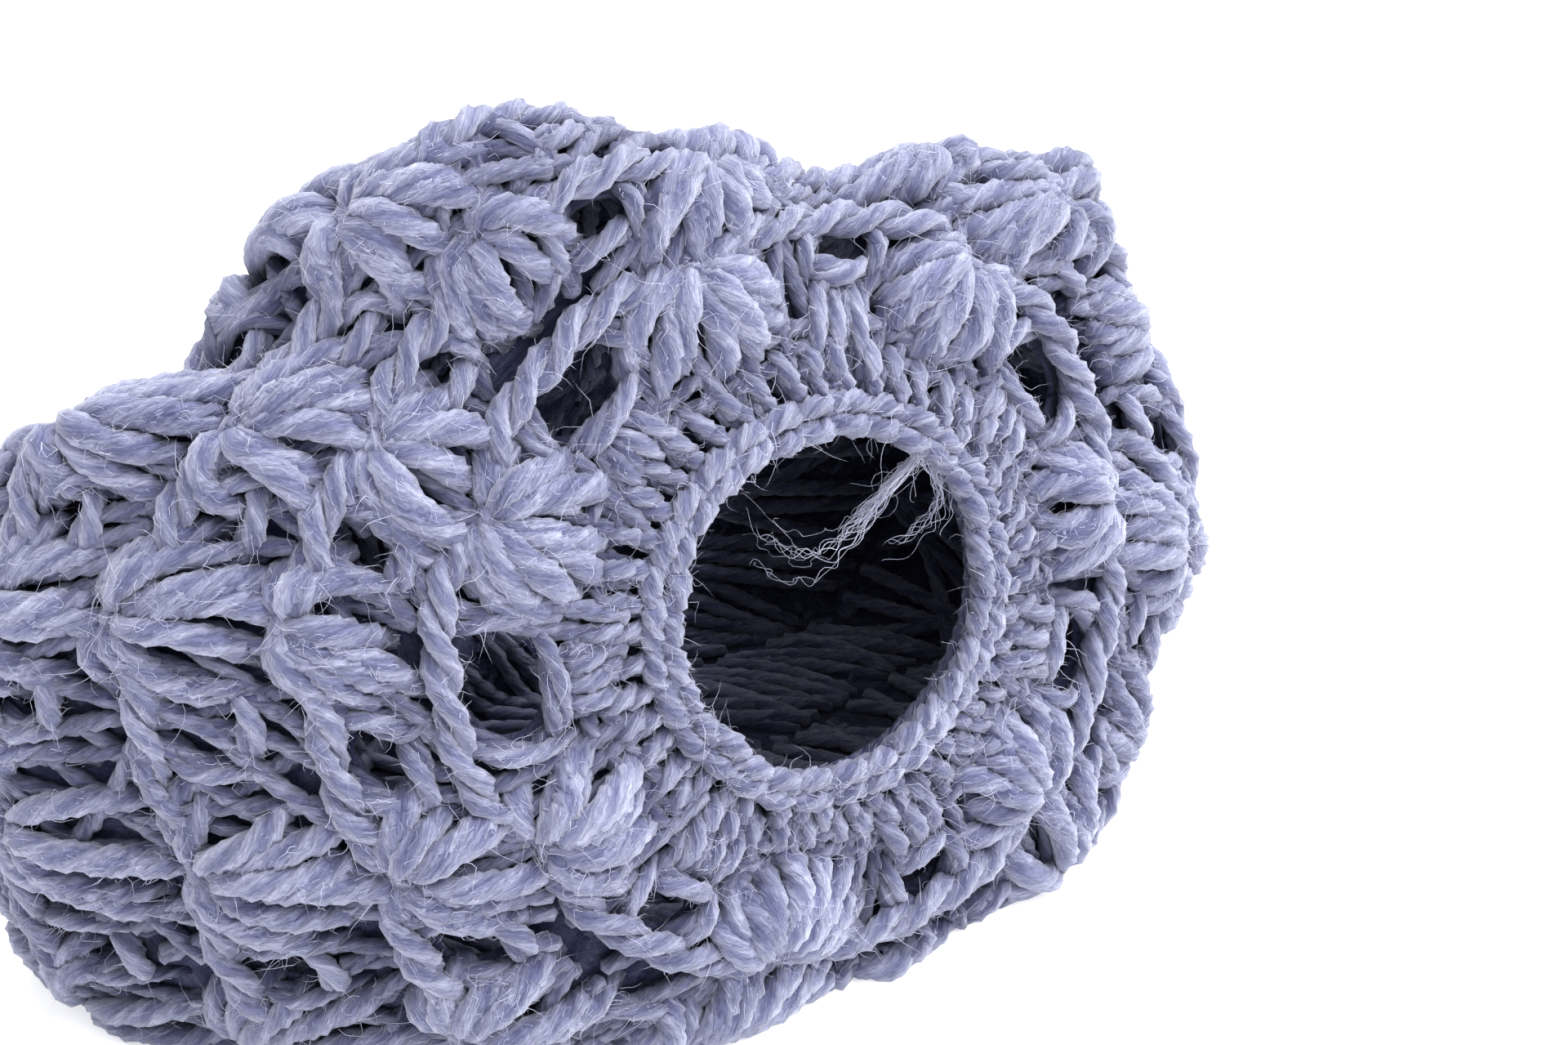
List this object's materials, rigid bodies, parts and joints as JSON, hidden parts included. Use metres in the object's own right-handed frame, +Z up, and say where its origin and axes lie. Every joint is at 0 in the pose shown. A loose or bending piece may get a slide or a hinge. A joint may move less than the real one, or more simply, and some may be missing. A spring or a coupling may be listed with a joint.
{
  "type": "ponytail beanie",
  "caption": "Crocheted shell-stitch beanie with an open ring at the crown for a ponytail, lying slouched on its side.",
  "frame": {"origin": "on the floor, under the middle of the hat's box as it lies on its side", "axes": "+Z up; -Y the way the ponytail hole looks, +Y the way the head opening looks; +X the hat's right as seen from the front"},
  "size_m": [0.2216, 0.1064, 0.1506],
  "materials": {
    "wool_yarn": "soft loosely twisted periwinkle wool"
  },
  "bodies": {
    "root": {"hole_edging": "wool_yarn", "shell_round_1": "wool_yarn", "shell_round_2": "wool_yarn", "shell_round_3": "wool_yarn", "shell_round_4": "wool_yarn", "shell_round_5": "wool_yarn", "rim_band": "wool_yarn"}
  },
  "joints": []
}
